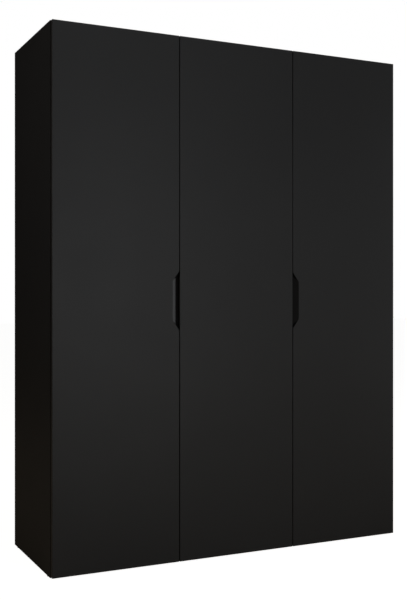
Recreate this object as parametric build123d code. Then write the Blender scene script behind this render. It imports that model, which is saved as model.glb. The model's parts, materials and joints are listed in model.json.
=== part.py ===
from build123d import *
import os

# Three-door wardrobe with concealed cup hinges and milled finger notches.
# Millimetres. +Z up, the doors face -Y, +X is to the right seen from the front.
# The origin is at floor level, in the middle of the plan.

# ---------------------------------------------------------------- driving sizes
WIDTH = 1500.0
HEIGHT = 2000.0
DEPTH = 520.0
BOARD = 18.0                # thickness of every carcass board and door
BACK = 3.0                  # hardboard back panels
GLIDE = 4.0                 # floor glides lift the boards off the floor
PLINTH = 60.0               # height of the plinth rails
DIVIDER_X = 250.0           # middle of the divider panel

DOOR_GAP = 3.0              # air between the doors' backs and the carcass
DOOR_SEAM = 3.0             # air between two doors
DOOR_INSET = 1.5            # doors stop this far short of the carcass sides
DOOR_BELOW_TOP = 2.0
DOOR_ABOVE_GLIDES = 3.0
DOOR_EDGE_ROUND = 1.0

NOTCH_WIDTH = 27.0          # finger notch, measured in from the door's edge
NOTCH_LENGTH = 225.0        # along the edge
NOTCH_INNER_LENGTH = 150.0  # along its inner line
NOTCH_EDGE_LENGTH = 200.0   # along its deepest line
NOTCH_DEPTH = 12.0
NOTCH_Z = 995.0

STRIP_FLANGE = 1.0          # the joining strip stands this proud of the back panels

# ---------------------------------------------------------------- derived places
HALF_W = WIDTH / 2
FRONT = -DEPTH / 2
DOOR_BACK = FRONT + BOARD
CARCASS_FRONT = DOOR_BACK + DOOR_GAP
BACK_OUTER = DEPTH / 2 - STRIP_FLANGE
CARCASS_BACK = BACK_OUTER - BACK
INNER_X = HALF_W - BOARD
TOP_UNDER = HEIGHT - BOARD
BOTTOM_UNDER = GLIDE + PLINTH
BOTTOM_UPPER = BOTTOM_UNDER + BOARD
DIVIDER_LEFT = DIVIDER_X - BOARD / 2
DIVIDER_RIGHT = DIVIDER_X + BOARD / 2
DOOR_LOW = GLIDE + DOOR_ABOVE_GLIDES
DOOR_HIGH = HEIGHT - DOOR_BELOW_TOP
DOOR_WIDTH = (WIDTH - 2 * DOOR_INSET - 2 * DOOR_SEAM) / 3

SHELF_RECESS = 20.0         # shelves and plinth stand back from the carcass front
SHELF_FRONT = CARCASS_FRONT + SHELF_RECESS
HAT_SHELF_Z = 1660.0        # undersides
FIXED_SHELF_Z = 1020.0
LOOSE_SHELVES_Z = {
    "lower_shelf": 380.0,
    "second_shelf": 700.0,
    "third_shelf": 1340.0,
    "upper_shelf": 1660.0,
}

# A screw is (shank radius, head radius).
CHIPBOARD_SCREW = (1.75, 3.5)
CHIPBOARD_SCREW_LENGTH = 15.0
RAIL_SCREW = (2.0, 4.0)
RAIL_SCREW_LENGTH = 45.0

os.makedirs("parts", exist_ok=True)
nodes = {}                  # node name -> list of solids


# ---------------------------------------------------------------- small helpers
def block(x0, x1, y0, y1, z0, z1):
    """A box given by its lowest and highest corners."""
    size = (x1 - x0, y1 - y0, z1 - z0)
    return Pos((x0 + x1) / 2, (y0 + y1) / 2, (z0 + z1) / 2) * Box(*size)


def rod(start, axis, length, radius):
    """A cylinder that begins at start and runs length along axis."""
    return Plane(origin=start, z_dir=axis).location * Cylinder(
        radius, length, align=(Align.CENTER, Align.CENTER, Align.MIN)
    )


def cone_head(start, axis, depth, wide, narrow):
    """A countersunk head, wide at start and narrow at depth along axis."""
    return Plane(origin=start, z_dir=axis).location * Cone(
        wide, narrow, depth, align=(Align.CENTER, Align.CENTER, Align.MIN)
    )


def screw(start, axis, length, radii):
    """A countersunk screw whose head is flush at start, and the hole that it fills."""
    radius, head_radius = radii
    head_depth = head_radius - radius
    body = rod(start, axis, length, radius) + cone_head(start, axis, head_depth, head_radius, radius)
    recess = rod(start, axis, head_depth * 0.7, radius * 0.55)
    return body - recess, body


def bar(points, half_width, low, high):
    """A flat bar with round ends along a plan polyline, from height low to high."""
    rise = high - low
    shape = None
    for x, y in points:
        end = Pos(x, y, (low + high) / 2) * Cylinder(half_width, rise)
        shape = end if shape is None else shape + end
    for (xa, ya), (xb, yb) in zip(points, points[1:]):
        run = Vector(xb - xa, yb - ya, 0)
        plane = Plane(origin=((xa + xb) / 2, (ya + yb) / 2, (low + high) / 2), x_dir=run, z_dir=(0, 0, 1))
        shape = shape + plane.location * Box(run.length, 2 * half_width, rise)
    return shape


def solids_of(shape):
    """The separate solids of one shape or of a list of shapes."""
    if isinstance(shape, (list, tuple)):
        return [solid for item in shape for solid in item.solids()]
    return list(shape.solids())


def keep(name, shape):
    """Adds the solids of a shape to a node."""
    nodes.setdefault(name, []).extend(solids_of(shape))


# ---------------------------------------------------------------- carcass boards
boards = {
    "left_side_panel": block(-HALF_W, -INNER_X, CARCASS_FRONT, CARCASS_BACK, GLIDE, HEIGHT),
    "right_side_panel": block(INNER_X, HALF_W, CARCASS_FRONT, CARCASS_BACK, GLIDE, HEIGHT),
    "top_panel": block(-INNER_X, INNER_X, CARCASS_FRONT, CARCASS_BACK, TOP_UNDER, HEIGHT),
    "bottom_panel": block(-INNER_X, INNER_X, CARCASS_FRONT, CARCASS_BACK, BOTTOM_UNDER, BOTTOM_UPPER),
    "divider_panel": block(
        DIVIDER_LEFT, DIVIDER_RIGHT, CARCASS_FRONT, CARCASS_BACK, BOTTOM_UPPER, TOP_UNDER
    ),
    "hat_shelf": block(
        -INNER_X, DIVIDER_LEFT, SHELF_FRONT, CARCASS_BACK, HAT_SHELF_Z, HAT_SHELF_Z + BOARD
    ),
    "fixed_shelf": block(
        DIVIDER_RIGHT, INNER_X, SHELF_FRONT, CARCASS_BACK, FIXED_SHELF_Z, FIXED_SHELF_Z + BOARD
    ),
}
PLINTH_BACK_INSET = 10.0
plinth_back_face = CARCASS_BACK - PLINTH_BACK_INSET
boards["plinth_front_rail"] = block(
    -INNER_X, INNER_X, SHELF_FRONT, SHELF_FRONT + BOARD, GLIDE, BOTTOM_UNDER
)
boards["plinth_back_rail"] = block(
    -INNER_X, INNER_X, plinth_back_face - BOARD, plinth_back_face, GLIDE, BOTTOM_UNDER
)
boards["plinth_cross_brace"] = block(
    DIVIDER_LEFT, DIVIDER_RIGHT, SHELF_FRONT + BOARD, plinth_back_face - BOARD, GLIDE, BOTTOM_UNDER
)

# The thin back panels meet at the divider and at the joining strip.
BACK_JOINTS_X = (-DIVIDER_X, DIVIDER_X)
BACK_INSET = 2.0            # the back panels stop short of the carcass outline
STRIP_WEB = 1.6
back_edges = {
    "left_back_panel": (-HALF_W + BACK_INSET, BACK_JOINTS_X[0] - STRIP_WEB / 2),
    "middle_back_panel": (BACK_JOINTS_X[0] + STRIP_WEB / 2, BACK_JOINTS_X[1] - 0.4),
    "right_back_panel": (BACK_JOINTS_X[1] + 0.4, HALF_W - BACK_INSET),
}
for name, (x_low, x_high) in back_edges.items():
    boards[name] = block(
        x_low, x_high, CARCASS_BACK, BACK_OUTER, GLIDE + BACK_INSET, HEIGHT - BACK_INSET
    )

cuts = {name: [] for name in boards}     # what is drilled out of each board


# ---------------------------------------------------------------- board joints
CAM_SETBACK = 34.0          # from the board's end to the middle of the cam
CAM_RADIUS = 7.5
CAM_DEPTH = 12.5
CAM_TOP = 3.2               # the cam's hidden end, above the board's middle
CAM_PLAY = 0.1
CAM_SLOT = (8.0, 1.4, 3.0)  # one stroke of the driver's cross
BOLT_BORE = 4.0
BOLT_GRIP = 11.0            # how deep a bolt is screwed into the mating board
BOLT_NECK = 2.6
BOLT_HEAD = 3.4
BOLT_HEAD_LENGTH = 3.0
BOLT_CHANNEL = 3.8
DOWEL_RADIUS = 4.0
DOWEL_IN_FACE = 12.0
DOWEL_IN_END = 18.0
CAM_PLACES_Y = (-170.0, 190.0)
DOWEL_PLACES_Y = (-130.0, 150.0)


def joint_plane(x, y, z, outward, up):
    """Local x runs out of the board's end, local z away from the face with the cams."""
    return Plane(origin=(x, y, z), x_dir=outward, z_dir=up).location


def cam_joint(board, mate, place):
    """Drills a board's end and its mate for one cam, and adds the cam and its bolt."""
    cam_low = -BOARD / 2
    pocket = Pos(-CAM_SETBACK, 0, cam_low + CAM_DEPTH / 2) * Cylinder(CAM_RADIUS, CAM_DEPTH)
    bore = rod((-CAM_SETBACK, 0, 0), (1, 0, 0), CAM_SETBACK + BOLT_GRIP, BOLT_BORE)
    cuts[board] += [place * pocket, place * bore]
    cuts[mate].append(place * bore)
    thread = rod((0, 0, 0), (1, 0, 0), BOLT_GRIP, BOLT_BORE)
    neck_start = -CAM_SETBACK + BOLT_HEAD_LENGTH
    neck = rod((neck_start, 0, 0), (1, 0, 0), -neck_start, BOLT_NECK)
    head = rod((-CAM_SETBACK, 0, 0), (1, 0, 0), BOLT_HEAD_LENGTH, BOLT_HEAD)
    keep("cam_bolts", place * (thread + neck + head))
    cam = Pos(-CAM_SETBACK, 0, (cam_low + CAM_TOP) / 2) * Cylinder(CAM_RADIUS - CAM_PLAY, CAM_TOP - cam_low)
    channel = rod((-CAM_SETBACK - 2, 0, 0), (1, 0, 0), CAM_RADIUS + 3, BOLT_CHANNEL)
    length, width, depth = CAM_SLOT
    slot = Pos(-CAM_SETBACK, 0, cam_low) * (Box(length, width, depth) + Box(width, length, depth))
    keep("cam_locks", place * (cam - channel - slot))


def dowel_joint(board, mate, place):
    """Drills a board's end and its mate for one wooden dowel, and adds the dowel."""
    dowel = rod((-DOWEL_IN_END, 0, 0), (1, 0, 0), DOWEL_IN_END + DOWEL_IN_FACE, DOWEL_RADIUS)
    cuts[board].append(place * dowel)
    cuts[mate].append(place * dowel)
    keep("wooden_dowels", place * dowel)


def board_end(board, mate, x, z, outward, up):
    """Two cams and two dowels along one end of a board."""
    for y in CAM_PLACES_Y:
        cam_joint(board, mate, joint_plane(x, y, z, outward, up))
    for y in DOWEL_PLACES_Y:
        dowel_joint(board, mate, joint_plane(x, y, z, outward, up))


LEFTWARD, RIGHTWARD = (-1, 0, 0), (1, 0, 0)
UPWARD, DOWNWARD = (0, 0, 1), (0, 0, -1)
for name, height in (("top_panel", TOP_UNDER), ("bottom_panel", BOTTOM_UNDER)):
    board_end(name, "left_side_panel", -INNER_X, height + BOARD / 2, LEFTWARD, UPWARD)
    board_end(name, "right_side_panel", INNER_X, height + BOARD / 2, RIGHTWARD, UPWARD)
board_end("hat_shelf", "left_side_panel", -INNER_X, HAT_SHELF_Z + BOARD / 2, LEFTWARD, UPWARD)
board_end("hat_shelf", "divider_panel", DIVIDER_LEFT, HAT_SHELF_Z + BOARD / 2, RIGHTWARD, UPWARD)
board_end("fixed_shelf", "divider_panel", DIVIDER_RIGHT, FIXED_SHELF_Z + BOARD / 2, LEFTWARD, UPWARD)
board_end("fixed_shelf", "right_side_panel", INNER_X, FIXED_SHELF_Z + BOARD / 2, RIGHTWARD, UPWARD)
board_end("divider_panel", "top_panel", DIVIDER_X, TOP_UNDER, UPWARD, RIGHTWARD)
board_end("divider_panel", "bottom_panel", DIVIDER_X, BOTTOM_UPPER, DOWNWARD, RIGHTWARD)

PLINTH_DOWELS_Z = (GLIDE + 18.0, GLIDE + 44.0)
rail_middles_y = {
    "plinth_front_rail": SHELF_FRONT + BOARD / 2,
    "plinth_back_rail": plinth_back_face - BOARD / 2,
}
for z in PLINTH_DOWELS_Z:
    for name, y in rail_middles_y.items():
        dowel_joint(name, "left_side_panel", joint_plane(-INNER_X, y, z, LEFTWARD, UPWARD))
        dowel_joint(name, "right_side_panel", joint_plane(INNER_X, y, z, RIGHTWARD, UPWARD))
    brace_ends = (SHELF_FRONT + BOARD, plinth_back_face - BOARD)
    dowel_joint(
        "plinth_cross_brace", "plinth_front_rail",
        joint_plane(DIVIDER_X, brace_ends[0], z, (0, -1, 0), UPWARD),
    )
    dowel_joint(
        "plinth_cross_brace", "plinth_back_rail",
        joint_plane(DIVIDER_X, brace_ends[1], z, (0, 1, 0), UPWARD),
    )

PLINTH_SCREWS_X = (-600.0, -200.0, 130.0, 600.0)
for name, y in rail_middles_y.items():
    for x in PLINTH_SCREWS_X:
        made, hole = screw((x, y, BOTTOM_UPPER), DOWNWARD, RAIL_SCREW_LENGTH, RAIL_SCREW)
        keep("plinth_screws", made)
        cuts["bottom_panel"].append(hole)
        cuts[name].append(hole)

# ---------------------------------------------------------------- shelves on pins
SHELF_SIDE_PLAY = 1.0
PIN_BORE = 2.5
PIN_BORE_DEPTH = 10.0
PIN_ROWS_Y = (-190.0, 200.0)
PIN_PITCH = 32.0
PIN_IN_BOARD = 8.0
PIN_REACH = 9.0             # how far a pin stands out under its shelf
PIN_COLLAR = 0.9            # the collar's width, and how far it is set below the pin's middle
PIN_COLLAR_RADIUS = 3.2
SHELF_BACK_PLAY = 4.0
for name, underside in LOOSE_SHELVES_Z.items():
    boards[name] = block(
        DIVIDER_RIGHT + SHELF_SIDE_PLAY, INNER_X - SHELF_SIDE_PLAY,
        SHELF_FRONT, CARCASS_BACK - SHELF_BACK_PLAY, underside, underside + BOARD,
    )
    for panel, x, inward in (("divider_panel", DIVIDER_RIGHT, 1), ("right_side_panel", INNER_X, -1)):
        for y in PIN_ROWS_Y:
            pin_z = underside - PIN_BORE
            for step in (-1, 0, 1):
                bore = rod((x, y, pin_z + step * PIN_PITCH), (-inward, 0, 0), PIN_BORE_DEPTH, PIN_BORE)
                cuts[panel].append(bore)
            shank_start = (x - inward * PIN_IN_BOARD, y, pin_z)
            shank = rod(shank_start, (inward, 0, 0), PIN_IN_BOARD + PIN_REACH, PIN_BORE)
            collar = rod((x, y, pin_z - PIN_COLLAR), (inward, 0, 0), PIN_COLLAR, PIN_COLLAR_RADIUS)
            keep("shelf_pins", shank + collar)

# ---------------------------------------------------------------- clothes rail
RAIL_Z = 1585.0
RAIL_Y = 5.0
RAIL_RADIUS = 12.5
RAIL_WALL = 1.2
RAIL_END_PLAY = 0.3
SOCKET_PLATE = 2.5
SOCKET_PLATE_RADIUS = 26.0
SOCKET_DEPTH = 14.0
SOCKET_WALL = 2.5
SOCKET_PLAY = 0.1
SOCKET_SCREW_OFF = 20.5
rail_left = -INNER_X + SOCKET_PLATE + RAIL_END_PLAY
rail_right = DIVIDER_LEFT - SOCKET_PLATE - RAIL_END_PLAY
tube = rod((rail_left, RAIL_Y, RAIL_Z), RIGHTWARD, rail_right - rail_left, RAIL_RADIUS)
tube_bore = rod((rail_left, RAIL_Y, RAIL_Z), RIGHTWARD, rail_right - rail_left, RAIL_RADIUS - RAIL_WALL)
keep("clothes_rail", tube - tube_bore)
for panel, x, inward in (("left_side_panel", -INNER_X, 1), ("divider_panel", DIVIDER_LEFT, -1)):
    middle = (x, RAIL_Y, RAIL_Z)
    plate = rod(middle, (inward, 0, 0), SOCKET_PLATE, SOCKET_PLATE_RADIUS)
    ring = rod(middle, (inward, 0, 0), SOCKET_PLATE + SOCKET_DEPTH, RAIL_RADIUS + SOCKET_WALL)
    seat_start = (x + inward * SOCKET_PLATE, RAIL_Y, RAIL_Z)
    seat = rod(seat_start, (inward, 0, 0), SOCKET_DEPTH, RAIL_RADIUS + SOCKET_PLAY)
    socket = plate + ring - seat
    for side in (-1, 1):
        start = (x + inward * SOCKET_PLATE, RAIL_Y + side * SOCKET_SCREW_OFF, RAIL_Z)
        made, hole = screw(start, (-inward, 0, 0), CHIPBOARD_SCREW_LENGTH, CHIPBOARD_SCREW)
        socket = socket - hole
        cuts[panel].append(hole)
        keep("fixing_screws", made)
    keep("rail_sockets", socket)

# ---------------------------------------------------------------- back panels and strip
STRIP_HALF = 8.0
STRIP_PLAY = 0.5
strip_spans = (
    (BOTTOM_UPPER + STRIP_PLAY, HAT_SHELF_Z - STRIP_PLAY),
    (HAT_SHELF_Z + BOARD + STRIP_PLAY, TOP_UNDER - STRIP_PLAY),
)
strip_inside = CARCASS_BACK - STRIP_FLANGE
strip_outside = BACK_OUTER + STRIP_FLANGE
for low, high in strip_spans:
    x = BACK_JOINTS_X[0]
    web = block(x - STRIP_WEB / 2, x + STRIP_WEB / 2, strip_inside, strip_outside, low, high)
    inner_flange = block(x - STRIP_HALF, x + STRIP_HALF, strip_inside, CARCASS_BACK, low, high)
    outer_flange = block(x - STRIP_HALF, x + STRIP_HALF, BACK_OUTER, strip_outside, low, high)
    keep("back_joining_strip", web + inner_flange + outer_flange)

NAIL_LENGTH = 20.0
NAIL_SHANK = 0.8
NAIL_HEAD = (1.75, 0.7)     # radius and thickness
NAIL_LOWEST_Z = 60.0
NAIL_PITCH = 209.0
NAIL_ROWS = 10
NAIL_OFF_DIVIDER = 4.6      # either side of the divider's middle
side_nails_x = HALF_W - BOARD / 2
nail_places = []
for row in range(NAIL_ROWS):
    z = NAIL_LOWEST_Z + NAIL_PITCH * row
    nail_places += [(-side_nails_x, z, "left_side_panel", "left_back_panel")]
    nail_places += [(side_nails_x, z, "right_side_panel", "right_back_panel")]
    if z > BOTTOM_UPPER:
        nail_places += [(DIVIDER_X - NAIL_OFF_DIVIDER, z, "divider_panel", "middle_back_panel")]
        nail_places += [(DIVIDER_X + NAIL_OFF_DIVIDER, z, "divider_panel", "right_back_panel")]
for name, (x_low, x_high) in back_edges.items():
    for share in (0.25, 0.5, 0.75):
        x = x_low + share * (x_high - x_low)
        nail_places += [(x, HEIGHT - BOARD / 2, "top_panel", name)]
        nail_places += [(x, BOTTOM_UNDER + BOARD / 2, "bottom_panel", name)]
for x, z, panel, back in nail_places:
    shank = rod((x, BACK_OUTER, z), (0, -1, 0), NAIL_LENGTH, NAIL_SHANK)
    head = rod((x, BACK_OUTER, z), (0, 1, 0), NAIL_HEAD[1], NAIL_HEAD[0])
    cuts[panel].append(shank)
    cuts[back].append(shank)
    keep("back_nails", shank + head)

# ---------------------------------------------------------------- glides, wall brackets
GLIDE_RADIUS = 8.0
GLIDE_CHAMFER = 1.0
GLIDE_SPIKE = (1.3, 12.0)   # radius and length
glide_places = [(side * (HALF_W - BOARD / 2), y) for side in (-1, 1) for y in (-200.0, 215.0)]
glide_hosts = ["left_side_panel"] * 2 + ["right_side_panel"] * 2
glide_places += [(DIVIDER_X, y) for y in (-170.0, 190.0)]
glide_hosts += ["plinth_cross_brace"] * 2
for (x, y), host in zip(glide_places, glide_hosts):
    pad = cone_head((x, y, 0), UPWARD, GLIDE_CHAMFER, GLIDE_RADIUS - GLIDE_CHAMFER, GLIDE_RADIUS)
    pad = pad + rod((x, y, GLIDE_CHAMFER), UPWARD, GLIDE - GLIDE_CHAMFER, GLIDE_RADIUS)
    spike = rod((x, y, GLIDE), UPWARD, GLIDE_SPIKE[1], GLIDE_SPIKE[0])
    cuts[host].append(spike)
    keep("floor_glides", pad + spike)

ANCHOR_X = (-480.0, 490.0)
ANCHOR_Z = 1955.0
ANCHOR_HOLE = 3.25
BRACKET_STEEL = 2.0
BRACKET_HALF = 14.0
BRACKET_DROP = 46.0
BRACKET_REACH = 42.0
BRACKET_SCREW_OFF = 8.0
BRACKET_SCREW_FROM_BACK = 27.0
anchor_backs = ("left_back_panel", "right_back_panel")
for x, back in zip(ANCHOR_X, anchor_backs):
    low, high = x - BRACKET_HALF, x + BRACKET_HALF
    bracket_front = CARCASS_BACK - BRACKET_REACH
    upright = block(
        low, high, CARCASS_BACK - BRACKET_STEEL, CARCASS_BACK, TOP_UNDER - BRACKET_DROP, TOP_UNDER
    )
    flat = block(low, high, bracket_front, CARCASS_BACK, TOP_UNDER - BRACKET_STEEL, TOP_UNDER)
    wall_hole = rod((x, CARCASS_BACK - 10, ANCHOR_Z), (0, 1, 0), 20.0, ANCHOR_HOLE)
    bracket = upright + flat - wall_hole
    cuts[back].append(wall_hole)
    for side in (-1, 1):
        y = CARCASS_BACK - BRACKET_SCREW_FROM_BACK
        start = (x + side * BRACKET_SCREW_OFF, y, TOP_UNDER - BRACKET_STEEL)
        made, hole = screw(start, UPWARD, CHIPBOARD_SCREW_LENGTH, CHIPBOARD_SCREW)
        bracket = bracket - hole
        cuts["top_panel"].append(hole)
        keep("fixing_screws", made)
    keep("wall_brackets", bracket)


# ---------------------------------------------------------------- doors
def finger_notch(edge_x, toward_edge):
    """The solid that is milled away: a planar slope that deepens to the door's edge, with sloped ends.
    It reaches a little past the front face and the edge. toward_edge is +1 or -1 along X."""
    half_inner = NOTCH_INNER_LENGTH / 2
    half_outer = NOTCH_LENGTH / 2
    half_deep = NOTCH_EDGE_LENGTH / 2

    def half_height(t, depth):
        widening = half_inner + (half_outer - half_inner) * (t + NOTCH_WIDTH) / NOTCH_WIDTH
        return widening - (half_outer - half_deep) * depth / NOTCH_DEPTH

    past = 2.0

    def section(t, depth):
        x = edge_x + toward_edge * t
        high_front, high_deep = half_height(t, -past), half_height(t, depth)
        y_front, y_deep = FRONT - past, FRONT + depth
        return [
            (x, y_front, NOTCH_Z - high_front), (x, y_front, NOTCH_Z + high_front),
            (x, y_deep, NOTCH_Z + high_deep), (x, y_deep, NOTCH_Z - high_deep),
        ]

    def slope(t):
        return NOTCH_DEPTH * (t + NOTCH_WIDTH) / NOTCH_WIDTH

    inner_t = -NOTCH_WIDTH * (1 + 1.0 / NOTCH_DEPTH)
    inner = section(inner_t, slope(inner_t))
    outer = section(past, slope(past))
    faces = [inner, outer]
    for a in range(4):
        b = (a + 1) % 4
        faces.append([inner[a], inner[b], outer[b], outer[a]])
    made = [Face(Wire.make_polygon([Vector(*p) for p in corners])) for corners in faces]
    return Solid(Shell(made))


door_edges = {}
for place, name in enumerate(("left_door", "middle_door", "right_door")):
    x_low = -HALF_W + DOOR_INSET + place * (DOOR_WIDTH + DOOR_SEAM)
    door_edges[name] = (x_low, x_low + DOOR_WIDTH)
    slab = block(x_low, x_low + DOOR_WIDTH, FRONT, DOOR_BACK, DOOR_LOW, DOOR_HIGH)
    boards[name] = fillet(slab.edges(), DOOR_EDGE_ROUND)
    cuts[name] = []
cuts["left_door"].append(finger_notch(door_edges["left_door"][1], 1))
cuts["right_door"].append(finger_notch(door_edges["right_door"][0], -1))

BUMPER = DOOR_GAP - 0.3
BUMPER_RADIUS = 4.5
BUMPER_IN = 20.0            # from the door's free edge
for name, (x_low, x_high) in door_edges.items():
    bumper_x = x_high - BUMPER_IN if name == "left_door" else x_low + BUMPER_IN
    for z in (HEIGHT - BOARD / 2, BOTTOM_UNDER + BOARD / 2):
        keep(name + "_bumpers", rod((bumper_x, DOOR_BACK, z), (0, 1, 0), BUMPER, BUMPER_RADIUS))

# ---------------------------------------------------------------- concealed hinges
# Places in a hinge are measured as (in, back): in from the door's hinged edge, back from the
# door's back face, with the door shut. Each hinge is a four-bar linkage: the arm carries two
# pins, the cup carries two, and an inner link and a pair of outer links join them.
HINGES_Z = (110.0, 600.0, 1400.0, 1890.0)
CUP_IN = 22.5               # middle of the cup from the door's edge
CUP_RADIUS = 17.5
CUP_DEPTH = 12.5
CUP_POCKET_RADIUS = 16.2
CUP_POCKET_DEPTH = 12.0
CUP_FLANGE = 1.2
CUP_FLANGE_LIP = 1.5
CUP_SCREW_IN = 28.0
CUP_SCREW_Z = 24.0
CUP_SCREW = (1.75, 2.9)
CUP_SCREW_LENGTH = 14.0
CUP_WING = 7.0              # half width of the flange round its screws
RIM_GAP_IN = 9.5            # the rim is open from the door's edge as far in as this
RIM_GAP_DEPTH = 9.5
CUP_LUG = 2.4               # half width of the lugs that hold the inner link's pin
CUP_LUG_FOOT = 9.9          # how deep in the cup a lug ends
CUP_WALL_REACH = 13.6       # where the outer links' stub pins end in the cup's wall
LINK_PIN = 1.1              # radius of the four pins
PIN_FIT = 0.05              # radial running fit
INNER_ARM_PIN = (29.8, -9.0)
INNER_CUP_PIN = (12.9, -9.4)
OUTER_ARM_PIN = (34.5, 0.2)
OUTER_CUP_PIN = (12.7, -5.4)
OUTER_EYE = 2.6             # an outer link's wide eye round its cup pin
INNER_KNEE = (25.0, -10.35)            # where a link bends
OUTER_KNEE = (26.0, -6.6)
INNER_BAR = 0.95            # half thickness of a link
OUTER_BAR = 1.1
EYE_RADIUS = 2.1            # outside of an eye
OUTER_ARM_EYE = 1.9
INNER_HALF = 3.8            # the inner link's half height
CHEEK_LOW, CHEEK_HIGH = 4.2, 5.7      # the arm's cheeks
OUTER_LOW, OUTER_HIGH = 6.1, 7.3      # the two outer links
WEB_OFF, WEB_HALF = 1.5, 0.6           # the arm's web, off the middle of its cheeks
ARM_BAR = 2.3               # half thickness of the arm's cheeks
ARM_NECK = (36.0, 7.0)
ARM_BEND_BACK = 15.0
ARM_END_BACK = 62.0
ARM_RUN_OFF = 12.0          # the arm's straight run, in from the board's face
PLATE_LINE = 40.0           # the mounting plate's screws, back from the door's back face
PLATE_RISE = 7.0
PLATE_LENGTH = (20.0, 60.0)            # its rail, back from the door's back face
PLATE_HALF = 7.5
PLATE_WING = 2.5            # thickness of its two wings
PLATE_WING_HALF = 7.0
PLATE_WING_REACH = 23.0
PLATE_SCREW_Z = 16.0
PLATE_SCREW = (2.2, 4.2)
PLATE_SCREW_LENGTH = 13.0
ARM_SCREW = 2.5
ARM_SCREW_HEAD = (4.0, 2.0)            # radius and thickness
ARM_SCREW_SLOT = (6.4, 1.1, 1.6)
ARM_SCREW_END = 1.5         # it stops this far off the board
SPRING_OFF = 11.4           # the spring, in from the board's face
SPRING_BOW = 0.8
SPRING_BACK = (20.0, 30.0, 34.5)
SPRING_HALF = (0.4, 2.6)    # half thickness and half height


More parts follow.
